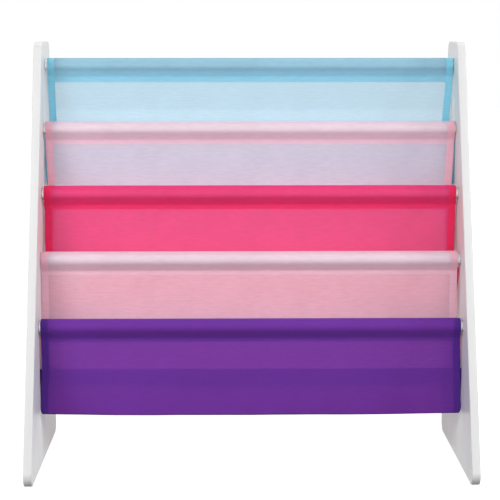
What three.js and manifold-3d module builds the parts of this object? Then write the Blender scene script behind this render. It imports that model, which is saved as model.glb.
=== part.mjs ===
// Children's sling bookshelf: two board sides, five tube rods bolted between them, and five strips
// of thin cloth that hang from the rods and are sewn to each other to make four book pockets.
// Millimetres, +Z up, front towards -Y. The origin is on the floor, in the middle of the footprint.

import * as THREE from 'three';
import { mergeVertices } from 'three/addons/utils/BufferGeometryUtils.js';
import Module from 'manifold-3d';

const wasm = await Module();
wasm.setup();

// Board sides
const overallWidth = 624;
const boardThickness = 12;
const sideHeight = 600;
const sideDepth = 320; // along the floor
const sideTopDepth = 95; // along the top
const cornerRadius = 15; // in the outline of the board
const boardEdgeRadius = 1.5; // round the long edges of the board
const boardCornerSteps = 6;
const boardEdgeSteps = 2;

// Rods
const rodDiameter = 16;
const rodWall = 1;
const topRodDrop = 34; // from the top of the sides down to the axis of the first rod
const bottomRodHeight = 202; // from the floor up to the axis of the last rod
const rodSetback = 48.5; // level, from the front edge of the sides back to the rod's axis
const rodSegments = 24;

// Bolts, and the threaded inserts that they screw into inside the rod ends
const boltDiameter = 6;
const boltHeadDiameter = 12;
const boltHeadHeight = 3.4;
const boltHeadRim = 0.5; // straight rim above the cone of the head
const boltTipChamfer = 0.8;
const boltReach = 22; // of the shank past the inner face of the board
const socketSides = 6;
const socketAcrossCorners = 4.6;
const socketDepth = 2.4;
const insertLength = 28;
const insertChamfer = 0.8;
const fastenerSegments = 12;

// Cloth
const clothThickness = 1.2;
const casingEndGap = 2; // from each end of a casing to the side beside it
const casingBelowRod = 8.5; // from the underside of the rod down to the stitch line
const seamAllowance = 6.2; // doubled cloth beside the stitch line
const pocketDrop = 88; // from the axis of a rod down to the fold of the pocket behind it
const frontPanelDrop = 126.5; // from the axis of the last rod down to the fold of the front panel
const frontPanelBulge = 4; // of the front layer, at the fold
const turnUpHeight = 65; // of the rear layer of the front panel, from its fold up to its edge
const waveDepth = 1.8; // of the soft waves across the cloth, at the fold
const foldSag = 2; // of the fold, in the middle of the width
const clothSteps = 10; // along the width
const casingSteps = 12; // round the rod
const foldSteps = 6; // round the fold of the front panel
const rearSheetSteps = 9;
const frontSheetSteps = 6;
const turnUpSteps = 3; // up the rear layer of the front panel

// How the cloth hangs, in powers, shares, counts and angles
const crowdingPower = 1.7; // above 1, the points along a hanging sheet crowd towards its fold
const pocketDrawInShare = 0.014; // of the width of a sling, taken in at its fold
const panelDrawInShare = 0.004; // of the width of the front panel, taken in at its fold
const broadWaveShare = 0.65;
const broadWaveCount = 1.5;
const fineWaveCount = 3.5;
const wavePhaseStep = 1.9; // radians from one sling to the next

// Fits
const fitGap = 0.3; // between pieces that touch on the real object
const cutOverrun = 1;

const rodRadius = rodDiameter / 2;
const boltRadius = boltDiameter / 2;
const boltHeadRadius = boltHeadDiameter / 2;
const innerWidth = overallWidth - 2 * boardThickness;
const casingWidth = innerWidth - 2 * casingEndGap; // along the rod
const frontLean = (sideDepth - sideTopDepth) / sideHeight; // level run of the front edge for each mm up

// The front corner of the foot is rounded off, so the board reaches less far forward than its
// outline's corner. The footprint is centred on what is left.
const footAngle = Math.PI / 2 - Math.atan(frontLean);
const noseTrim = cornerRadius * (1 / Math.tan(footAngle / 2) - 1);
const backY = (sideDepth - noseTrim) / 2;
const frontY = backY - sideDepth; // where the line of the front edge meets the floor

const strips = [
  { name: 'sling_1_sky_blue', color: 0xa8d4e8 },
  { name: 'sling_2_light_pink', color: 0xf0c8d8 },
  { name: 'sling_3_hot_pink', color: 0xee4f87 },
  { name: 'sling_4_light_pink', color: 0xf0c8d8 },
  { name: 'front_panel_purple', color: 0x6a3a9c },
];
const rodSpacing = (sideHeight - topRodDrop - bottomRodHeight) / (strips.length - 1);
const rodRun = frontLean * rodSpacing; // level distance from one rod to the next

// The axis of each rod in the side view, from the top down
const rodAxes = strips.map((strip, index) => {
  const z = sideHeight - topRodDrop - index * rodSpacing;
  return { y: frontY + frontLean * z + rodSetback, z };
});

// Turns a side view (across = back, up = up) that is extruded forwards so that it runs along X
const sideViewToWorld = new THREE.Matrix4().makeBasis(
  new THREE.Vector3(0, 1, 0),
  new THREE.Vector3(0, 0, 1),
  new THREE.Vector3(1, 0, 0),
);

const boardFinish = () => new THREE.MeshStandardMaterial({ color: 0xf4f4f2, roughness: 0.45, metalness: 0 });
const rodFinish = () => new THREE.MeshStandardMaterial({ color: 0xb9bbbe, roughness: 0.35, metalness: 0.9 });
const boltFinish = () => new THREE.MeshStandardMaterial({ color: 0xa9abad, roughness: 0.3, metalness: 1 });
const insertFinish = () => new THREE.MeshStandardMaterial({ color: 0xd8d6d0, roughness: 0.6, metalness: 0 });
const clothFinish = (color) => new THREE.MeshStandardMaterial({ color, roughness: 0.85, metalness: 0 });

function toSolid(geometry) {
  const plain = geometry.clone();
  plain.deleteAttribute('normal');
  plain.deleteAttribute('uv');
  const merged = mergeVertices(plain);
  const corners = merged.index.array;
  const triVerts = [];
  for (let i = 0; i < corners.length; i += 3) {
    const [a, b, c] = [corners[i], corners[i + 1], corners[i + 2]];
    if (a !== b && b !== c && c !== a) {
      triVerts.push(a, b, c);
    }
  }
  return new wasm.Manifold(
    new wasm.Mesh({
      numProp: 3,
      vertProperties: new Float32Array(merged.attributes.position.array),
      triVerts: new Uint32Array(triVerts),
    }),
  );
}

function toGeometry(solid) {
  const mesh = solid.getMesh();
  const geometry = new THREE.BufferGeometry();
  geometry.setAttribute('position', new THREE.BufferAttribute(mesh.vertProperties, mesh.numProp));
  geometry.setIndex(new THREE.BufferAttribute(mesh.triVerts, 1));
  return geometry;
}

function pieceMesh(name, geometry, material) {
  geometry.computeVertexNormals();
  const mesh = new THREE.Mesh(geometry, material);
  mesh.name = name;
  return mesh;
}

// A profile of [radius, height] pairs turned about the Y axis
function turned(profile, segments) {
  const points = profile.map(([radius, height]) => new THREE.Vector2(radius, height));
  return new THREE.LatheGeometry(points, segments);
}

// The outline with each corner replaced by an arc that touches both of its sides
function roundedOutline(corners, radius, steps) {
  return corners.flatMap((corner, index) => {
    const before = corners.at(index - 1).clone().sub(corner).normalize();
    const after = corners[(index + 1) % corners.length].clone().sub(corner).normalize();
    const inward = before.clone().add(after).normalize();
    const halfAngle = Math.acos(before.dot(after)) / 2;
    const centre = corner.clone().addScaledVector(inward, radius / Math.sin(halfAngle));
    const start = corner.clone().addScaledVector(before, radius / Math.tan(halfAngle));
    const turn = (Math.PI - 2 * halfAngle) / steps;
    return Array.from({ length: steps + 1 }, (_, k) => start.clone().rotateAround(centre, k * turn));
  });
}

// One side: a board with a level foot, an upright back edge and a leaning front edge. Its bolt holes
// are countersunk from the outer face.
function sidePanel(name, outerFaceAtStart) {
  const corners = [
    new THREE.Vector2(frontY, 0),
    new THREE.Vector2(backY, 0),
    new THREE.Vector2(backY, sideHeight),
    new THREE.Vector2(backY - sideTopDepth, sideHeight),
  ];
  const outline = new THREE.Shape(roundedOutline(corners, cornerRadius, boardCornerSteps));
  const board = new THREE.ExtrudeGeometry(outline, {
    depth: boardThickness - 2 * boardEdgeRadius,
    bevelThickness: boardEdgeRadius,
    bevelSize: boardEdgeRadius,
    bevelOffset: -boardEdgeRadius,
    bevelSegments: boardEdgeSteps,
  });
  board.translate(0, 0, boardEdgeRadius);
  board.applyMatrix4(sideViewToWorld);

  const drill = turned(
    [
      [0, -cutOverrun],
      [boltHeadRadius + fitGap, -cutOverrun],
      [boltHeadRadius + fitGap, fitGap + boltHeadRim],
      [boltRadius + fitGap, fitGap + boltHeadHeight],
      [boltRadius + fitGap, boardThickness + cutOverrun],
      [0, boardThickness + cutOverrun],
    ],
    fastenerSegments,
  );
  drill.rotateZ(outerFaceAtStart ? -Math.PI / 2 : Math.PI / 2);

  let solid = toSolid(board);
  for (const axis of rodAxes) {
    const hole = drill.clone().translate(outerFaceAtStart ? 0 : boardThickness, axis.y, axis.z);
    solid = solid.subtract(toSolid(hole));
  }
  const panel = pieceMesh(name, toGeometry(solid), boardFinish());
  panel.position.x = outerFaceAtStart ? -overallWidth / 2 : overallWidth / 2 - boardThickness;
  return panel;
}

function rod(name) {
  const halfLength = innerWidth / 2 - fitGap;
  const boreRadius = rodRadius - rodWall;
  const tube = turned(
    [
      [boreRadius, -halfLength],
      [rodRadius, -halfLength],
      [rodRadius, halfLength],
      [boreRadius, halfLength],
      [boreRadius, -halfLength],
    ],
    rodSegments,
  );
  const mesh = pieceMesh(name, tube, rodFinish());
  mesh.rotation.z = -Math.PI / 2;
  return mesh;
}

// A countersunk bolt with a hexagon socket. Its head is at 0 and its shank runs up the Y axis.
const boltShape = (() => {
  const length = boardThickness + boltReach;
  const blank = turned(
    [
      [0, 0],
      [boltHeadRadius, 0],
      [boltHeadRadius, boltHeadRim],
      [boltRadius, boltHeadHeight],
      [boltRadius, length - boltTipChamfer],
      [boltRadius - boltTipChamfer, length],
      [0, length],
    ],
    fastenerSegments,
  );
  const socketRadius = socketAcrossCorners / 2;
  const socket = new THREE.CylinderGeometry(socketRadius, socketRadius, 2 * socketDepth, socketSides);
  return toGeometry(toSolid(blank).subtract(toSolid(socket)));
})();

// A threaded insert pressed into the end of a rod. Its outer end is at 0.
const insertShape = (() => {
  const outerRadius = rodRadius - rodWall - fitGap;
  const boreRadius = boltRadius + fitGap;
  return turned(
    [
      [boreRadius, 0],
      [outerRadius, 0],
      [outerRadius, insertLength - insertChamfer],
      [outerRadius - insertChamfer, insertLength],
      [boreRadius, insertLength],
      [boreRadius, 0],
    ],
    fastenerSegments,
  );
})();

// The bolt and insert that fix one end of a rod, in a group that is turned so that +Y runs inwards
function rodEnd(index, side) {
  const end = new THREE.Group();
  const sideSign = side === 'left' ? -1 : 1;
  end.position.x = sideSign * overallWidth / 2;
  end.rotation.z = sideSign * Math.PI / 2;
  const bolt = pieceMesh(`rod_bolt_${index + 1}_${side}`, boltShape.clone(), boltFinish());
  bolt.position.y = fitGap;
  const insert = pieceMesh(`rod_insert_${index + 1}_${side}`, insertShape.clone(), insertFinish());
  insert.position.y = boardThickness + fitGap;
  end.add(bolt, insert);
  return end;
}

// The rest of this file is the cloth. Its side views are drawn round the rod's axis.

const stitchZ = -(rodRadius + casingBelowRod);
const allowanceZ = stitchZ - seamAllowance;
const seamRearY = 1.5 * clothThickness; // rear face of the doubled cloth at the stitch line
const smooth = (share) => THREE.MathUtils.smoothstep(share, 0, 1);

// An arc over the top of the rod, from the straight that comes up from `rear` to the one that goes
// down to `front`, and touching both
function arcOverRod(radius, rear, front) {
  const start = rear.angle() - 2 * Math.PI + Math.acos(radius / rear.length());
  const end = front.angle() - Math.acos(radius / front.length());
  return Array.from({ length: casingSteps + 1 }, (_, k) => {
    const angle = start + ((end - start) * k) / casingSteps;
    return new THREE.Vector2(radius * Math.cos(angle), radius * Math.sin(angle));
  });
}

// The points of a path moved sideways by `distance`, to the left of the way that it runs
function movedLeft(path, distance) {
  return path.map((point, index) => {
    const before = path[Math.max(index - 1, 0)];
    const after = path[Math.min(index + 1, path.length - 1)];
    const along = after.clone().sub(before).normalize();
    return new THREE.Vector2(point.x - along.y * distance, point.y + along.x * distance);
  });
}

// The outside of the casing, up from the stitch line at the rear, over the rod and down at the front
const casingOutside = (() => {
  const rear = new THREE.Vector2(seamRearY, stitchZ);
  const front = new THREE.Vector2(-clothThickness / 2, stitchZ);
  return [rear, ...arcOverRod(rodRadius + fitGap + clothThickness, rear, front), front];
})();

// The tunnel that the rod passes through
const casingTunnel = (() => {
  const apex = new THREE.Vector2(clothThickness / 2, stitchZ + clothThickness);
  return [apex, ...arcOverRod(rodRadius + fitGap, apex, apex)];
})();

// A sheet hung from two points is a catenary: at a distance s along the cloth from its lowest point
// it is a * asinh(s / a) to the side and sqrt(a * a + s * s) - a up. The size a that makes it span
// the given width is found by halving.
function catenarySize(width, rearRise, frontRise) {
  const sideways = (size, rise) => size * Math.acosh(1 + rise / size);
  let low = 0;
  let high = width;
  while (high - low > width / 2 ** 40) {
    const middle = (low + high) / 2;
    if (sideways(middle, rearRise) + sideways(middle, frontRise) < width) {
      low = middle;
    } else {
      high = middle;
    }
  }
  return high;
}

// The middle line of a sling, from below its own casing down to the fold and up to the seam behind
// the next casing, where its edge lies along the rear of that casing
const slingHang = (() => {
  const rearTop = new THREE.Vector2(0, allowanceZ);
  const frontTopY = -rodRun + seamRearY + fitGap + clothThickness / 2;
  const frontTop = new THREE.Vector2(frontTopY, allowanceZ - rodSpacing);
  const lowestZ = -rodSpacing - pocketDrop;
  const rearRise = rearTop.y - lowestZ;
  const frontRise = frontTop.y - lowestZ;
  const size = catenarySize(rearTop.x - frontTop.x, rearRise, frontRise);
  const clothLength = (rise) => Math.sqrt((rise + size) ** 2 - size ** 2);
  const lowestY = rearTop.x - size * Math.acosh(1 + rearRise / size);
  const lowest = new THREE.Vector2(lowestY, lowestZ);
  const at = (s) => new THREE.Vector2(size * Math.asinh(s / size), Math.hypot(size, s) - size).add(lowest);
  const crowded = (k, steps) => (k / steps) ** crowdingPower;
  const path = [];
  for (let k = rearSheetSteps; k > 0; k -= 1) {
    path.push(at(clothLength(rearRise) * crowded(k, rearSheetSteps)));
  }
  for (let k = 0; k <= frontSheetSteps; k += 1) {
    path.push(at(-clothLength(frontRise) * crowded(k, frontSheetSteps)));
  }
  const seam = new THREE.Vector2(frontTopY, stitchZ - rodSpacing);
  const alongCasing = casingOutside[1].clone().sub(casingOutside[0]).normalize();
  path.push(seam, seam.clone().addScaledVector(alongCasing, seamAllowance));
  return { path, lowest, rearTopZ: rearTop.y, frontTopZ: frontTop.y, drawInShare: pocketDrawInShare };
})();

// The middle line of the front panel, from the seam down the front layer, round the fold and up the
// rear layer, a deep turn-up that ends in front of the last pocket
const frontPanelHang = (() => {
  const rearY = clothThickness;
  const foldRadius = (rearY + frontPanelBulge) / 2;
  const foldCentre = new THREE.Vector2(rearY - foldRadius, foldRadius - frontPanelDrop);
  const path = [];
  for (let k = 0; k <= frontSheetSteps; k += 1) {
    const share = k / frontSheetSteps;
    const height = THREE.MathUtils.lerp(allowanceZ, foldCentre.y, share);
    path.push(new THREE.Vector2(-frontPanelBulge * smooth(share), height));
  }
  for (let k = 1; k < foldSteps; k += 1) {
    const angle = Math.PI + (Math.PI * k) / foldSteps;
    const fromCentre = new THREE.Vector2(Math.cos(angle), Math.sin(angle)).multiplyScalar(foldRadius);
    path.push(foldCentre.clone().add(fromCentre));
  }
  for (let k = 0; k <= turnUpSteps; k += 1) {
    const height = THREE.MathUtils.lerp(foldCentre.y, turnUpHeight - frontPanelDrop, k / turnUpSteps);
    path.push(new THREE.Vector2(rearY, height));
  }
  const lowest = new THREE.Vector2(rearY, -frontPanelDrop);
  return { path, lowest, rearTopZ: allowanceZ, frontTopZ: allowanceZ, drawInShare: panelDrawInShare };
})();

// The side view of a whole strip. It starts at the free end of the seam allowance, runs over the
// casing, down the face of the cloth that is in front there, and back along the other face.
function stripShape(path) {
  const frontFace = movedLeft(path, -clothThickness / 2);
  const rearFace = movedLeft(path, clothThickness / 2);
  const allowanceEnd = new THREE.Vector2(seamRearY, allowanceZ);
  const shape = new THREE.Shape([allowanceEnd, ...casingOutside, ...frontFace, ...rearFace.reverse()]);
  shape.holes.push(new THREE.Path(casingTunnel));
  return shape;
}

// Cloth run along the rod, and then let go towards its fold: there it stands in soft waves, sags in
// the middle and draws in a little at its two ends
function hungCloth(hang, phase) {
  const alongRod = { depth: casingWidth, steps: clothSteps, bevelEnabled: false };
  const geometry = new THREE.ExtrudeGeometry(stripShape(hang.path), alongRod);
  geometry.translate(0, 0, -casingWidth / 2);
  geometry.applyMatrix4(sideViewToWorld);
  const place = geometry.attributes.position;
  for (let i = 0; i < place.count; i += 1) {
    const across = (2 * place.getX(i)) / casingWidth;
    const topZ = place.getY(i) < hang.lowest.x ? hang.frontTopZ : hang.rearTopZ;
    const loose = smooth((topZ - place.getZ(i)) / (topZ - hang.lowest.y));
    const broadWave = Math.sin(Math.PI * broadWaveCount * across + phase);
    const fineWave = Math.sin(Math.PI * fineWaveCount * across - phase);
    const wave = broadWaveShare * broadWave + (1 - broadWaveShare) * fineWave;
    place.setX(i, place.getX(i) * (1 - hang.drawInShare * loose));
    place.setY(i, place.getY(i) + waveDepth * loose * wave);
    place.setZ(i, place.getZ(i) - foldSag * loose * (1 - across ** 2));
  }
  return geometry;
}

const bookshelf = new THREE.Group();
bookshelf.add(sidePanel('side_panel_left', true), sidePanel('side_panel_right', false));

strips.forEach((strip, index) => {
  const station = new THREE.Group();
  station.position.set(0, rodAxes[index].y, rodAxes[index].z);
  const isFrontPanel = index === strips.length - 1;
  const hang = isFrontPanel ? frontPanelHang : slingHang;
  station.add(
    rod(`rod_${index + 1}`),
    rodEnd(index, 'left'),
    rodEnd(index, 'right'),
    pieceMesh(strip.name, hungCloth(hang, index * wavePhaseStep), clothFinish(strip.color)),
  );
  bookshelf.add(station);
});

export default bookshelf;
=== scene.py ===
"""Looks of a children's sling bookshelf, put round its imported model.

The sections follow the real assembly: the two board sides, the rods with their bolts and inserts,
the four slings, the front panel and the studio. Metres, +Z up, front towards -Y.
"""

import math

import bmesh
import bpy
import numpy as np
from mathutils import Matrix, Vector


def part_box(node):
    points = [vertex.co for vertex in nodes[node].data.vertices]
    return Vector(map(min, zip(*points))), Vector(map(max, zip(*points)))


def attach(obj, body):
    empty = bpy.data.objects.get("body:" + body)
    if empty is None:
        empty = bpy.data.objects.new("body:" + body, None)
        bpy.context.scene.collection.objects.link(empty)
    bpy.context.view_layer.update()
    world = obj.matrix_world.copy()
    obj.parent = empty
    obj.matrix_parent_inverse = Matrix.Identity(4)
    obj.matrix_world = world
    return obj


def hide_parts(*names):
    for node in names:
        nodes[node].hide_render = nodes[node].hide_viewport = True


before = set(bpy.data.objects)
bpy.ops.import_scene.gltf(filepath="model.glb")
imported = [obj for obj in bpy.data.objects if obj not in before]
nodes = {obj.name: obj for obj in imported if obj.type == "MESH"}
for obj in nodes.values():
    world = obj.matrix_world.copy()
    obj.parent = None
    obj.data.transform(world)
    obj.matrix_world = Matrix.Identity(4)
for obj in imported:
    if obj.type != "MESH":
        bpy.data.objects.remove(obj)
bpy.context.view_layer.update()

# Camera
# A long lens 2.2 m in front of the bookshelf, level with its top and a little to the left of its
# middle, turned 8.3 degrees down.

lens = bpy.data.cameras.new("camera")
lens.lens = 113.3
lens.sensor_width = 36
camera = bpy.data.objects.new("camera", lens)
camera.location = (-0.0339, -2.2311, 0.6313)
camera.rotation_euler = (math.radians(81.692), 0, math.radians(-0.847))
bpy.context.scene.collection.objects.link(camera)
bpy.context.scene.camera = camera

# Side panels
# Two 12 mm boards sprayed with a white satin lacquer, their edges lightly rounded over. The lacquer
# levels to a faint orange peel and is a little duller where hands rub it.

MM = 0.001


class Finish:
    """A material being made up from nodes. An input that is a node's socket gets linked."""

    def __init__(self, block):
        self.block = block
        block.use_nodes = True
        self.tree = block.node_tree
        self.tree.nodes.clear()

    def add(self, kind, inputs=None, output=0, **settings):
        """Adds a node of this kind and returns one of its outputs."""
        node = self.tree.nodes.new("ShaderNode" + kind)
        for key, value in settings.items():
            setattr(node, key, value)
        for key, value in (inputs or {}).items():
            if isinstance(value, bpy.types.NodeSocket):
                self.tree.links.new(value, node.inputs[key])
            else:
                node.inputs[key].default_value = value
        return node.outputs[output] if node.outputs else node

    def maths(self, operation, *values):
        """One step of arithmetic on the values."""
        return self.add("Math", dict(enumerate(values)), operation=operation)

    def map(self, value, low, high, from_low=0.0, from_high=1.0):
        """The value carried from one range to another, and held inside it."""
        return self.add("MapRange", {0: value, 1: from_low, 2: from_high, 3: low, 4: high})

    def tint(self, colour, value):
        """The colour made lighter or darker, by a value round 1."""
        return self.add("VectorMath", {0: colour, 3: value}, operation="SCALE")

    def noise(self, place, scale, detail=2.0, roughness=0.5):
        """Soft noise between 0 and 1, about this many spots to the metre."""
        inputs = {"Vector": place, "Scale": scale, "Detail": detail, "Roughness": roughness}
        return self.add("TexNoise", inputs)

    def stretch(self, place, scale):
        """The place times a scale for each axis: the larger it is, the finer a pattern gets."""
        return self.add("Mapping", {"Vector": place, "Scale": scale})

    def bump(self, height, distance, strength=1.0):
        """Relief where a height of 1 stands this distance proud."""
        return self.add("Bump", {"Height": height, "Distance": distance, "Strength": strength})

    def close(self, shader, output="OutputMaterial"):
        """Joins the shader to the output, and returns the finished material."""
        self.add(output, {"Surface": shader})
        return self.block


def finish_named(name):
    return Finish(bpy.data.materials.new(name))


def lacquer():
    """White with a faint cloudy mottle, an orange peel less than a millimetre across, and patches
    that are rubbed duller or glossier, higher than they are wide."""
    finish = finish_named("white_satin_lacquer")
    place = finish.add("TexCoord", output=3)
    mottle = finish.noise(place, 7.0, 3.0)
    peel = finish.noise(place, 1500.0, 1.0)
    rub = finish.noise(finish.stretch(place, (1.0, 1.0, 0.3)), 38.0, 4.0, 0.6)
    white = finish.tint((0.75, 0.75, 0.75), finish.map(mottle, 0.985, 1.015, 0.3, 0.7))
    looks = {
        "Base Color": white,
        "Roughness": finish.map(rub, 0.34, 0.46, 0.3, 0.7),
        "Specular IOR Level": 0.5,
        "Normal": finish.bump(peel, 0.00002, 0.35),
    }
    return finish.close(finish.add("BsdfPrincipled", looks))


def joined(mesh, outwards=False):
    """The mesh with its doubled points merged. It is shaded smooth, apart from edges where two
    faces meet at more than 20 degrees."""
    work = bmesh.new()
    work.from_mesh(mesh)
    bmesh.ops.remove_doubles(work, verts=work.verts, dist=0.001 * MM)
    if outwards:
        bmesh.ops.recalc_face_normals(work, faces=work.faces)
    work.to_mesh(mesh)
    work.free()
    mesh.shade_smooth()
    mesh.set_sharp_from_angle(angle=math.radians(20))
    return mesh


def placed(name, mesh, material, slot, *replaced):
    """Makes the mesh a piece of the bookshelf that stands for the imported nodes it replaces."""
    mesh.materials.clear()
    mesh.materials.append(material)
    piece = bpy.data.objects.new(name, mesh)
    bpy.context.scene.collection.objects.link(piece)
    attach(piece, "root")
    if replaced:
        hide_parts(*replaced)
    return piece


white_lacquer = lacquer()
for side in ("left", "right"):
    node = f"side_panel_{side}"
    board = placed(f"board_{side}", joined(nodes[node].data.copy()), white_lacquer, "board_white", node)
    # The flat faces are shaded level right up to their rounded edges
    level_face = board.modifiers.new("level_face", "WEIGHTED_NORMAL")
    level_face.keep_sharp = True
    level_face.weight = 100

# Rods
# Five 16 mm steel tubes, drawn and left bright, so fine lines run along them. They clamp the two
# sides apart.


def drawn_steel(name, grey, roughness, along):
    """Steel with fine lines: noise squeezed across them and stretched along them."""
    finish = finish_named(name)
    place = finish.add("TexCoord", output=3)
    lines = finish.noise(finish.stretch(place, along), 1.0, 3.0, 0.65)
    cloud = finish.noise(place, 60.0, 2.0)
    tone = finish.maths("MULTIPLY", finish.map(lines, 0.93, 1.05), finish.map(cloud, 0.97, 1.03))
    looks = {
        "Base Color": finish.tint(grey, tone),
        "Metallic": 1.0,
        "Roughness": finish.map(lines, roughness - 0.06, roughness + 0.06),
        "Normal": finish.bump(lines, 0.00002, 0.4),
    }
    return finish.close(finish.add("BsdfPrincipled", looks))


steel = drawn_steel("drawn_steel_tube", (0.72, 0.73, 0.74), 0.3, (20, 1800, 1800))
rod_axes = np.zeros((5, 2))
for index in range(5):
    node = f"rod_{index + 1}"
    low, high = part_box(node)
    rod_axes[index] = (low.y + high.y) / 2, (low.z + high.z) / 2
    placed(f"tube_{index + 1}", joined(nodes[node].data.copy()), steel, "rod_steel", node)

# Bolts and inserts
# Each rod end holds a moulded nylon insert, and a countersunk zinc-plated M6 bolt with a hexagon
# socket runs through the board into it.


def nylon():
    """Natural nylon with the slightly cloudy skin that moulding leaves."""
    finish = finish_named("natural_nylon")
    place = finish.add("TexCoord", output=3)
    cloud = finish.noise(place, 260.0, 3.0)
    looks = {
        "Base Color": finish.tint((0.85, 0.84, 0.8), finish.map(cloud, 0.95, 1.03)),
        "Roughness": finish.map(cloud, 0.45, 0.6),
        "Normal": finish.bump(cloud, 0.00005, 0.4),
    }
    return finish.close(finish.add("BsdfPrincipled", looks))


def surface(name, grid, around=False):
    """A mesh of four-sided faces on a grid of points. Its last column meets its first one again if
    it goes all the way around."""
    rows, columns = grid.shape[:2]
    index = np.arange(rows * columns).reshape(rows, columns)
    if around:
        index = np.hstack([index, index[:, :1]])
    corners = [index[:-1, :-1], index[1:, :-1], index[1:, 1:], index[:-1, 1:]]
    faces = np.stack(corners, axis=-1).reshape(-1, 4)
    mesh = bpy.data.meshes.new(name)
    mesh.from_pydata(grid.reshape(-1, 3).tolist(), [], faces.tolist())
    mesh.shade_smooth()
    return mesh, faces


def bolt(name, low, high, inwards, sides=48):
    """A bolt turned about its own axis. A row of points lies at a depth from the face of the head
    and at a radius, which in the socket is that of a hexagon: its flat's distance from the axis over
    cos(angle from the middle of the flat)."""
    head = (high.z - low.z) / 2
    length = high.x - low.x
    shank, socket, pitch = 3 * MM, 2.3 * MM, math.radians(60)
    bottom, bevel = 2.4 * MM, 0.25 * MM  # the depth of the socket, and of the edges taken off
    rows = np.array([
        (0, bottom, 0),
        (socket, bottom - 0.1 * MM, 1),
        (socket, bevel, 1),
        (socket + bevel, 0, 1),
        (head - bevel, 0, 0),
        (head, 0.2 * MM, 0),
        (head, 0.5 * MM, 0),
        (shank, 3.4 * MM, 0),
        (shank, length - 0.8 * MM, 0),
        (shank - 0.8 * MM, length, 0),
        (0, length, 0),
    ])
    angle = np.arange(sides) * 2 * math.pi / sides
    flat = math.cos(pitch / 2) / np.cos((angle + pitch / 2) % pitch - pitch / 2)
    radius = rows[:, :1] * np.where(rows[:, 2:] > 0, flat, 1)
    x = (low.x if inwards > 0 else high.x) + inwards * rows[:, 1:2] + 0 * angle
    y = (low.y + high.y) / 2 + radius * np.cos(angle)
    z = (low.z + high.z) / 2 + radius * np.sin(angle)
    return joined(surface(name, np.stack([x, y, z], axis=2), around=True)[0], outwards=True)


plated = drawn_steel("zinc_plate", (0.5, 0.51, 0.52), 0.36, (900, 900, 900))
natural_nylon = nylon()
for side, inwards in (("left", 1), ("right", -1)):
    for n in range(1, 6):
        node = f"rod_bolt_{n}_{side}"
        placed(f"bolt_{n}_{side}", bolt(node, *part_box(node), inwards), plated, "bolt_steel", node)
        nodes[f"rod_insert_{n}_{side}"].material_slots[0].material = natural_nylon

# Slings
# Four strips of thin sheer polyester. Each has a sewn casing on its own rod, hangs behind the next
# strip, turns at a fold and comes up to a seam behind the next casing. Its two long sides are
# hemmed: the cloth is turned under twice and stitched, so that there it lies three thick.

HEM = 10.8 * MM  # its width
HEM_LAYER = 0.25 * MM  # from one layer of a hem to the next
# Of each of the grid's columns in a hem, how far in from the strip's side it lies, and how far
# behind the sheet. They run from the cut edge in along the hem's middle layer, out along its rear
# layer, round the strip's side, and in along the sheet itself.
HEM_INSET = np.array([0.06, 0.5, 0.94, 0.985, 0.94, 0.5, 0.04, 0.0, 0.04, 0.5, 0.97, 1]) * HEM
HEM_DEPTH = np.array([1, 1, 1, 1.5, 2, 2, 2, 1, 0, 0, 0, 0]) * HEM_LAYER
HEM_COLUMNS = len(HEM_INSET)
STITCH_Y, STITCH_Z = -3 * MM, -16.5 * MM  # of the stitch line, from the rod's axis
ALLOWANCE = 6.2 * MM  # cloth past the stitch line of a seam
ALLOWANCE_Y = 1.75 * MM  # of the free end of the casing, behind the sheet
SEAM_Y = 2.75 * MM  # of the sling's front sheet, behind the next casing's stitch line
SHARP = 0.3 * MM  # between the two rows where a casing's layers end
WAVE = 1.8 * MM  # the height of the waves where the cloth is loosest
WAVE_LEAD = 1.9  # of each strip's waves over those of the strip above, in radians
STEP = rod_axes[1] - rod_axes[0]  # from one rod's axis to the next


def smooth(share):
    """The smooth step 3 t^2 - 2 t^3, held between 0 and 1."""
    share = np.clip(share, 0, 1)
    return share * share * (3 - 2 * share)


def line(start, end, count):
    """Points evenly spaced from start to end, both included."""
    return np.linspace(start, end, count + 1)


def layered(path, allowance, most):
    """How far the cloth's layers lie together at each row of the casing: the least over the rod,
    and by a smooth step below the rod the most, down to the end of the allowance. The slings ask
    for more than their layers give there: painted light that lifts the band under the rod, which
    lies in shade."""
    least, start, depth = 0.12, -6 * MM, 5 * MM
    height = path[:, 1]
    beneath = smooth((start - height) / depth)
    return np.where(height > STITCH_Z - allowance - 0.01 * MM, least + (most - least) * beneath, 0)


def casing_path(allowance, radius, steps=30):
    """The casing in the side view: up from its free end to the rear of the stitch line, over the
    rod, and down to the front of the stitch line. Over the rod it is two tangents to a circle and
    the arc between them. A tangent from a point at distance d touches the circle at
    acos(radius / d) from the direction of that point. Also how many points the free end has."""
    free_end = np.array([STITCH_Y + ALLOWANCE_Y, STITCH_Z - allowance])
    rear = np.array([STITCH_Y + 1.2 * MM, STITCH_Z])
    front = np.array([STITCH_Y - 0.05 * MM, STITCH_Z])

    def reach(point):
        return math.atan2(point[1], point[0]), math.acos(radius / math.hypot(*point))

    (rear_angle, rear_turn), (front_angle, front_turn) = reach(rear), reach(front)
    angles = line(rear_angle + rear_turn, front_angle + 2 * math.pi - front_turn, steps)
    arc = radius * np.stack([np.cos(angles), np.sin(angles)], axis=1)
    end = line(free_end, rear, 4)[:-1]
    loop = [line(rear, arc[0], 5)[:-1], arc, line(arc[-1], front, 5)[1:]]
    return np.vstack([end, *loop]), len(end)


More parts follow.
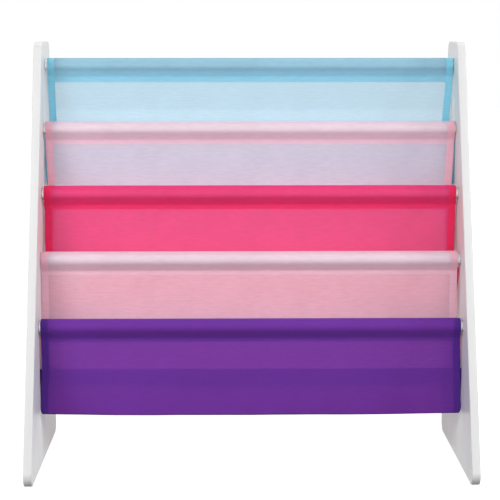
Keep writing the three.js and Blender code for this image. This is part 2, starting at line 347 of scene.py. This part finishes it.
def catenary(start, end, lowest, rear_steps, front_steps):
    """A sheet hung from two points: a * asinh(s / a) to the side and sqrt(a^2 + s^2) - a up, at a
    distance s along the cloth from its lowest point. The size a is found by halving."""
    rises = start[1] - lowest, end[1] - lowest
    width = start[0] - end[0]
    low, high = 0.0, width
    for _ in range(60):
        size = (low + high) / 2
        if sum(size * math.acosh(1 + rise / size) for rise in rises) < width:
            low = size
        else:
            high = size
    rear, front = (math.sqrt((rise + size) ** 2 - size**2) for rise in rises)
    crowd = 1.6  # the rows lie closer together towards the fold
    down = rear * line(1, 0, rear_steps) ** crowd
    up = -front * line(0, 1, front_steps)[1:] ** crowd
    s = np.concatenate([down, up])
    middle = start[0] - size * math.acosh(1 + rises[0] / size)
    return np.stack([middle + size * np.arcsinh(s / size), lowest + np.hypot(size, s) - size], axis=1)


def distances(points):
    """How far along the path each of its points lies."""
    steps = np.linalg.norm(np.diff(points, axis=0), axis=-1)
    return np.concatenate([[0], np.cumsum(steps)])


def sling_path(drop, allowance, radius):
    """A whole sling in the side view, round its rod's axis, and the stations that its width is
    given at: the free end, the rear of the casing, its top, its front, the end of its allowance,
    the back sheet level with the top of the next casing, the fold, the seam and the end. With it go
    how far each row is loose, and how far the layers lie together there."""
    casing, rear = casing_path(allowance, radius)
    below = np.array([STITCH_Y, STITCH_Z - allowance])
    seam = STEP + [STITCH_Y + SEAM_Y, STITCH_Z]
    seam_end = seam - [0, ALLOWANCE]
    hang = catenary(below, seam_end, STEP[1] - drop, rear_steps=60, front_steps=34)
    lie = casing[rear + 5] - casing[rear]  # the way that the rear of the next casing runs
    lie /= np.linalg.norm(lie)
    parts = [
        casing[:-1],
        np.vstack([line(casing[-1], below, 4)[:-1], below + [0, SHARP]]),
        hang[:-1],
        line(seam_end, seam, 4)[:-1],
        line(seam, seam + lie * ALLOWANCE, 4),
    ]
    path = np.vstack(parts)
    front, sheet, met, seam_row = np.cumsum([len(part) for part in parts])[:4]
    fold = sheet + np.argmin(hang[:, 1])
    level = sheet + np.argmin(abs(path[sheet:fold, 1] - STEP[1] - radius))
    stations = [0, rear, (rear + front) // 2, front, sheet, level, fold, seam_row, len(path) - 1]
    loose = np.zeros(len(path))
    for top, rows in ((below[1], slice(sheet, fold + 1)), (seam_end[1], slice(fold, met))):
        loose[rows] = smooth((top - path[rows, 1]) / (top - hang[:, 1].min()))
    # 0.52 is more than the casing's layers give: the extra paints light into the shaded band under the
    # rod.
    layers = layered(path, allowance, 0.52) * (np.arange(len(path)) < sheet)
    return path, stations, loose, layers


def hemmed_columns(count=150):
    """Across the strip: for each column the side it belongs to, how far in from that side it lies,
    its layer in the hem, and its share of the way across between the hems."""
    hem, between = np.ones(HEM_COLUMNS), np.zeros(count - 2)
    return (
        np.concatenate([-hem, between, hem]),
        np.concatenate([HEM_INSET, between, HEM_INSET[::-1]]),
        np.concatenate([HEM_DEPTH, between, HEM_DEPTH[::-1]]),
        np.concatenate([-hem, np.linspace(-1, 1, count)[1:-1], hem]),
    )


def across_path(path):
    """The direction square to the path at each of its points, to the left of the way it runs."""
    along = np.gradient(path, axis=0)
    along /= np.linalg.norm(along, axis=1, keepdims=True)
    return np.stack([-along[:, 1], along[:, 0]], axis=1)


def hung_cloth(path, loose, left, right, phase, sag):
    """Points of the strip on a grid, row by row along the path: x runs between the left and right
    edges, a layer of a hem lies off the sheet along its normal, and the loose part stands in
    waves of three lengths and sags in the middle by sag * (1 - x^2)."""
    side, inset, layer, share = hemmed_columns()
    normal = across_path(path)
    left, right = left[:, None], right[:, None]
    spread = (left + HEM) * (1 - share) / 2 + (right - HEM) * (1 + share) / 2
    x = np.where(side == 0, spread, np.where(side < 0, left + inset, right - inset))
    across = x / right.max()
    broad = np.sin(math.pi * 1.5 * across + phase)
    fine = np.sin(math.pi * 3.5 * across - phase)
    small = np.sin(math.pi * 9.0 * across + 2.3 * phase)
    wave = WAVE * loose[:, None] * (0.62 * broad + 0.32 * fine + 0.1 * small)
    y = path[:, 0, None] + normal[:, 0, None] * layer + wave
    z = path[:, 1, None] + normal[:, 1, None] * layer - sag * loose[:, None] * (1 - across**2)
    return np.stack([x, y, z], axis=2)


def edge(stations, values, path):
    """The strip's edge at every row: the values at the stations, joined by smooth steps."""
    s = distances(path)
    knots = s[stations]
    spot = np.clip(np.searchsorted(knots, s, side="right") - 1, 0, len(knots) - 2)
    share = smooth((s - knots[spot]) / (knots[spot + 1] - knots[spot]))
    values = np.array(values) * MM
    return values[spot] + (values[spot + 1] - values[spot]) * share


def sheer_cloth(name, thread, deep_and_lightened_colour, cover, through=(1, 1, 1, 1)):
    """Plain weave with thicker weft, so faint ribs run across the strip. Between the threads it is
    open: what lies behind shows through in the share that the threads leave. Where several layers
    lie together, light comes back from more thread: deeper in colour, and with less let through.
    Where the colour given for them is lighter than the thread, as for the sky blue, it is painted
    light that brightens hems and bands which lie in shade."""
    finish = finish_named(name)
    place = finish.add("UVMap", uv_map="flat_cloth")
    ribs = {"Vector": place, "Scale": 520.0, "Distortion": 0.6, "Detail": 1.0}
    weft = finish.add("TexWave", ribs, bands_direction="Y")
    ends = {"Vector": place, "Scale": 640.0, "Distortion": 0.4, "Detail": 1.0}
    warp = finish.add("TexWave", ends, bands_direction="X")
    slub = finish.noise(finish.stretch(place, (60, 330, 1)), 1.0, 3.0, 0.6)
    cloud = finish.noise(place, 24.0, 3.0)
    weave = finish.maths("MULTIPLY", finish.map(weft, 0.8, 1.1), finish.map(warp, 0.92, 1.05))
    streaks = finish.map(slub, -0.03, 0.03, 0.3, 0.7)
    clouds = finish.map(cloud, 0.975, 1.025, 0.3, 0.7)
    uneven = finish.maths("ADD", streaks, clouds)
    blotch = finish.maths("MULTIPLY", uneven, finish.map(weft, 0.97, 1.03))
    layers = finish.add("Attribute", output=2, attribute_name="layers")
    thread_and_layered_colour = {0: layers, 6: (*thread, 1), 7: (*deep_and_lightened_colour, 1)}
    colour = finish.tint(finish.add("Mix", thread_and_layered_colour, output=2, data_type="RGBA"), blotch)
    looks = {
        "Base Color": colour,
        "Roughness": 0.7,
        "Specular IOR Level": 0.25,
        "Sheen Weight": 0.12,
        "Sheen Roughness": 0.4,
        "Normal": finish.bump(weave, 0.00012, 0.5),
    }
    body = finish.add("BsdfPrincipled", looks)
    glow = finish.add("BsdfTranslucent", {"Color": colour})
    threads = finish.add("MixShader", {0: finish.map(layers, 0.25, 0.12), 1: body, 2: glow})
    open_part = finish.add("BsdfTransparent", {"Color": through})
    streak = finish.map(slub, cover - 0.02, cover + 0.02, 0.3, 0.7)
    closed = finish.maths("ADD", streak, finish.map(layers, 0.0, 0.98 - cover))
    shown = finish.maths("MULTIPLY", closed, finish.map(weave, 0.96, 1.04, 0.75, 1.15))
    return finish.close(finish.add("MixShader", {0: shown, 1: open_part, 2: threads}))


def sewing_thread(name, colour):
    """Twisted polyester thread: two plies show as slanting bands."""
    finish = finish_named(name)
    place = finish.add("TexCoord", output=3)
    twist = {"Vector": place, "Scale": 900.0, "Distortion": 0.5}
    plies = finish.add("TexWave", twist, bands_direction="DIAGONAL")
    looks = {
        "Base Color": finish.tint(colour, finish.map(plies, 0.86, 1.06)),
        "Roughness": 0.55,
        "Sheen Weight": 0.1,
        "Normal": finish.bump(plies, 0.00005, 0.5),
    }
    return finish.close(finish.add("BsdfPrincipled", looks))


def stitches(points, normals):
    """Short raised threads in a row along a line of points. Each is five rings of six points whose
    radius swells from nothing at its ends, where it dives into the cloth."""
    pitch, length, radius = 2.8 * MM, 2.3 * MM, 0.19 * MM
    s = distances(points)
    count = int(s[-1] / pitch)
    middle = (np.arange(count) + 0.5) * s[-1] / count
    along = middle[:, None] + length * np.array([-0.5, -0.38, 0, 0.38, 0.5])
    centre = np.stack([np.interp(along, s, points[:, k]) for k in range(3)], axis=-1)
    up = np.stack([np.interp(middle, s, normals[:, k]) for k in range(3)], axis=-1)
    ahead = centre[:, -1] - centre[:, 0]
    sideways = np.cross(ahead, up)
    sideways /= np.linalg.norm(sideways, axis=1, keepdims=True)
    angle = np.arange(6) * math.pi / 3
    ring = np.cos(angle)[:, None] * sideways[:, None, :] + np.sin(angle)[:, None] * up[:, None, :]
    swell = radius * np.array([0, 0.85, 1, 0.85, 0])
    lift = radius * np.array([-0.6, 0.4, 0.7, 0.4, -0.6])
    centre = centre + lift[:, None] * up[:, None, :]
    return centre[:, :, None, :] + swell[:, None, None] * ring[:, None, :, :]


def sewing(name, rows):
    """One mesh of all the stitches in these rows of them."""
    grid = np.concatenate(rows)
    index = np.arange(grid.size // 3).reshape(grid.shape[:3])
    index = np.concatenate([index, index[:, :, :1]], axis=2)
    corners = [index[:, :-1, :-1], index[:, 1:, :-1], index[:, 1:, 1:], index[:, :-1, 1:]]
    faces = np.stack(corners, axis=-1).reshape(-1, 4)
    mesh = bpy.data.meshes.new(name)
    mesh.from_pydata(grid.reshape(-1, 3).tolist(), [], faces.tolist())
    return joined(mesh, outwards=True)


def seams_of(grid, path, casing_front, hem_rows):
    """The rows of stitches on one strip: across it at the front of the casing, and along each hem,
    on both faces of the cloth."""
    flat = across_path(path)
    normal = np.column_stack([np.zeros(len(flat)), flat])
    across = grid[casing_front, HEM_COLUMNS - 1 : 1 - HEM_COLUMNS]
    rows = [stitches(across, np.tile([0.0, -1.0, 0.0], (len(across), 1)))]
    inwards = 0.8  # from the column in the middle of the hem to the one at its inner border
    for middle, border, face in ((9, 10, -1), (-10, -11, -1), (5, 4, 1), (-6, -5, 1)):
        row = grid[hem_rows, middle] * (1 - inwards) + grid[hem_rows, border] * inwards
        rows.append(stitches(row, face * normal[hem_rows]))
    return rows


def sewn_strip(name, node, slot, material, thread, rod, shape, edges, sag, hem_rows):
    """Its UV map is the flat cloth in metres: the distances along its middle row and its middle
    column."""
    path, stations, loose, layers = shape
    left, right = edges
    grid = hung_cloth(path, loose, left, right, WAVE_LEAD * (rod - 1), sag)
    grid[..., 1:] += rod_axes[rod - 1]
    mesh, faces = surface(name, grid)
    width, length = distances(grid[len(grid) // 2]), distances(grid[:, grid.shape[1] // 2])
    flat = np.stack(np.meshgrid(width, length), axis=-1).reshape(-1, 2)
    layer = mesh.uv_layers.new(name="flat_cloth")
    layer.data.foreach_set("uv", flat[faces.ravel()].astype(np.float32).ravel())
    side, inset = hemmed_columns()[:2]
    hem = (side != 0) & (inset < 0.99 * HEM)
    depth = np.maximum(layers[:, None], hem).astype(np.float32)
    mesh.attributes.new("layers", "FLOAT", "POINT").data.foreach_set("value", depth.ravel())
    piece = placed(name, mesh, material, slot, node)
    rows = seams_of(grid, path, stations[3], hem_rows)
    stitching = placed(name + "_stitching", sewing(name + "_stitching", rows), thread, slot)


CLOTHS = {
    "cloth_light_pink": (
        sheer_cloth("sheer_light_pink", (0.98, 0.8, 0.9), (1.0, 0.58, 0.7), 0.71),
        sewing_thread("light_pink_thread", (0.86, 0.62, 0.74)),
    ),
    "cloth_sky_blue": (
        # Its colour for layered places is lighter than the thread: painted light for the shaded hems
        # and the band under the casing.
        sheer_cloth("sheer_sky_blue", (0.35, 0.62, 0.78), (0.32, 0.79, 0.98), 0.72),
        sewing_thread("sky_blue_thread", (0.3, 0.58, 0.76)),
    ),
    "cloth_hot_pink": (
        sheer_cloth("sheer_hot_pink", (0.95, 0.05, 0.25), (0.98, 0.03, 0.14), 0.83),
        sewing_thread("hot_pink_thread", (0.8, 0.04, 0.2)),
    ),
}

# For each strip, the radius of its casing over the rod and its allowance, how far its fold hangs
# below the next rod's axis at the ends, and lower still in the middle, and its left and right edges
# at the stations of sling_path, all in millimetres.
SLINGS = [
    ("sling_1", "sling_1_sky_blue", "cloth_sky_blue", 10.6, 8.5, 82.8, 6,
     (-297, -296.6, -296.6, -296.6, -296.4, -294.9, -298.4, -298.8, -298.8),
     (298.6, 299, 299, 299, 298.7, 295, 299.4, 299.4, 299.4)),
    ("sling_2", "sling_2_light_pink", "cloth_light_pink", 10.7, 6.1, 88, 3,
     (-297, -297.3, -297.3, -297.3, -297, -295.1, -298, -298.8, -298.8),
     (297.8, 298.4, 298.4, 298.4, 297.9, 295.4, 298, 298.8, 298.8)),
    ("sling_3", "sling_3_hot_pink", "cloth_hot_pink", 11.6, 6.2, 89.5, 3,
     (-297, -297, -297, -297, -296.2, -296.7, -296, -298.8, -298.8),
     (296.5, 296.6, 296.6, 296.6, 296.5, 295.8, 293.4, 298.8, 298.8)),
    ("sling_4", "sling_4_light_pink", "cloth_light_pink", 11.4, 5.9, 88, 3,
     (-299, -299.6, -299.6, -299.6, -299.5, -299.5, -298.6, -299, -299),
     (296, 296.2, 296.2, 296.2, 296.1, 295.9, 298.6, 299, 299)),
]
for rod, (name, node, slot, radius, allowance, drop, sag, lefts, rights) in enumerate(SLINGS, 1):
    shape = sling_path(drop * MM, allowance * MM, radius * MM)
    path, stations = shape[:2]
    edges = edge(stations, lefts, path), edge(stations, rights, path)
    hem_rows = slice(stations[1], stations[7])
    sewn_strip(name, node, slot, *CLOTHS[slot], rod, shape, edges, sag * MM, hem_rows)

# Front panel
# One strip of purple cloth on the last rod. It hangs straight down, turns at a rounded fold, and its
# rear layer is a deep turn-up that ends in front of the last pocket.

PANEL_DROP = 126 * MM  # of the fold, below the rod's axis
PANEL_BULGE = 4 * MM  # of the front layer at the fold, in front of the stitch line
PANEL_SAG = 2.2 * MM
TURN_UP, TURN_UP_Y = 65 * MM, 1.4 * MM  # its height, and how far it lies behind the stitch line
PANEL_RADIUS, PANEL_ALLOWANCE = 11.2 * MM, 4.7 * MM
CORNER_WIDTH, CORNER_HEIGHT = 4.2 * MM, 11 * MM  # of the rounding at the two lower corners


def panel_path():
    """The front panel in the side view: the casing, the front layer, which leans out by a smooth
    step, a half circle at the fold, and the rear layer. Its stations are the free end, the rear and
    the front of the casing, two on the front layer, the lowest point and the end."""
    casing, rear = casing_path(PANEL_ALLOWANCE, PANEL_RADIUS)
    rear_y = STITCH_Y + TURN_UP_Y
    radius = (TURN_UP_Y + PANEL_BULGE) / 2
    fold_z = radius - PANEL_DROP
    allowance_end = STITCH_Z - PANEL_ALLOWANCE
    z = np.append(line(STITCH_Z, fold_z, 54), [allowance_end + SHARP, allowance_end])
    z = np.sort(z)[::-1]
    lean = smooth((STITCH_Z - z) / (STITCH_Z - fold_z))
    face = np.stack([STITCH_Y - PANEL_BULGE * lean, z], axis=1)
    turn = line(math.pi, 2 * math.pi, 12)[1:]
    fold = [rear_y - radius, fold_z] + radius * np.stack([np.cos(turn), np.sin(turn)], axis=1)
    back = line([rear_y, fold_z], [rear_y, TURN_UP - PANEL_DROP], 24)[1:]
    path = np.vstack([casing[:-1], face, fold, back])
    start = len(casing) - 1
    lowest = start + len(face) + len(fold) // 2 - 1
    stations = [0, rear, start, start + 24, start + 42, lowest, len(path) - 1]
    loose = smooth((allowance_end - path[:, 1]) / (allowance_end + PANEL_DROP))
    layers = layered(path, PANEL_ALLOWANCE, 0.3) * (np.arange(len(path)) < lowest)
    return path, stations, loose, layers


def rounded(path):
    """How far in from the side the panel's edge lies at its lower corners: a quarter of an ellipse
    of width a and height b, so a * (1 - sqrt(1 - t^2)) at a share t of b below its centre."""
    share = np.clip((CORNER_HEIGHT - PANEL_DROP - path[:, 1]) / CORNER_HEIGHT, 0, 1)
    return CORNER_WIDTH * (1 - np.sqrt(1 - share**2))


purple = sheer_cloth("sheer_purple", (0.19, 0.045, 0.46), (0.1, 0.022, 0.31), 0.86, (1, 0.3, 0.5, 1))
purple_thread = sewing_thread("purple_thread", (0.15, 0.022, 0.38))
shape = panel_path()
path, stations = shape[:2]
lefts = edge(stations, (-297, -297.3, -297.3, -296.6, -298.8, -299.6, -299.7), path)
rights = edge(stations, (297, 297, 297, 297.7, 298.8, 299.6, 299.7), path)
edges = lefts + rounded(path), rights - rounded(path)
hem_rows = slice(stations[1], len(path))
sewn_strip(
    "front_panel", "front_panel_purple", "cloth_purple", purple, purple_thread,
    5, shape, edges, PANEL_SAG, hem_rows,
)

# Studio
# A pale floor, round soft lamps in front, at the sides and above the back, and surroundings that are
# brighter towards the back. The floor and the surroundings look white, and the floor keeps a faint
# shadow of the bookshelf.


def white_for_the_eye(finish):
    """1 for rays that come from the camera, a glossy surface or glass, and 0 for the others."""
    rays = finish.add("LightPath").node.outputs
    first = finish.maths("MAXIMUM", rays["Is Camera Ray"], rays["Is Glossy Ray"])
    return finish.maths("MAXIMUM", first, rays["Is Transmission Ray"])


def pale_floor():
    """Shows the bookshelf's shadow near it, and glows evenly white from 2.4 m away."""
    finish = finish_named("pale_floor")
    away = finish.add("VectorMath", {0: finish.add("TexCoord", output=3)}, output=1, operation="LENGTH")
    bounce = finish.add("BsdfDiffuse", {"Color": (0.12, 0.12, 0.12, 1)})
    shade = finish.add("BsdfDiffuse", {"Color": (0.36, 0.36, 0.36, 1)})
    glow = finish.map(away, 0.86, 1.0, 0.6, 2.4)
    lit = finish.add("Emission", {"Color": (1, 1, 1, 1), "Strength": glow})
    seen = finish.add("AddShader", {0: shade, 1: lit})
    return finish.close(finish.add("MixShader", {0: white_for_the_eye(finish), 1: bounce, 2: seen}))


reach = 9.0  # from the middle of the floor to its edges
mesh = bpy.data.meshes.new("floor")
corners = [(-reach, -reach, 0), (reach, -reach, 0), (reach, reach, 0), (-reach, reach, 0)]
mesh.from_pydata(corners, [], [(0, 1, 2, 3)])
mesh.materials.append(pale_floor())
floor = bpy.data.objects.new("floor", mesh)
bpy.context.scene.collection.objects.link(floor)

sky = Finish(bpy.data.worlds.new("surroundings"))
ray = sky.add("TexCoord")
towards_the_back = sky.add("SeparateXYZ", {0: ray}, output=1)
level = sky.map(towards_the_back, 0.05, 0.9, -0.5, 0.6)  # faint in front, strong behind
white = sky.map(white_for_the_eye(sky), level, 1.0)
light = sky.add("Background", {"Color": (1, 1, 1, 1), "Strength": white})
bpy.context.scene.world = sky.close(light, "OutputWorld")


def softbox(name, place, size, power, aim=(0, 0, 0.4)):
    """A round area lamp that looks from its place at its aim, a point in the bookshelf. With x, y
    and z the way from the aim to the lamp, it is tilted by acos(z / its length) and turned by
    atan2(x, -y)."""
    lamp = bpy.data.lights.new(name, "AREA")
    lamp.shape = "DISK"
    lamp.size = size
    lamp.energy = power
    away = np.array(place) - np.array(aim)
    stand = bpy.data.objects.new(name, lamp)
    stand.location = place
    tilt = math.acos(away[2] / float(np.linalg.norm(away)))
    stand.rotation_euler = (tilt, 0, math.atan2(away[0], -away[1]))
    bpy.context.scene.collection.objects.link(stand)


softbox("right_softbox", (1.3, -1.9, 1.7), 1.4, 17)
softbox("left_softbox", (-1.3, -1.9, 1.7), 1.4, 26)
softbox("right_side_softbox", (2.4, -0.8, 1.0), 1.4, 32)
softbox("left_side_softbox", (-2.2, -2.2, 1.2), 1.6, 27)
softbox("low_softbox", (0, -2.8, 0.45), 1.6, 7)
softbox("rear_softbox", (0, 0.9, 1.9), 1.4, 6)

bpy.context.scene.view_settings.view_transform = "Standard"
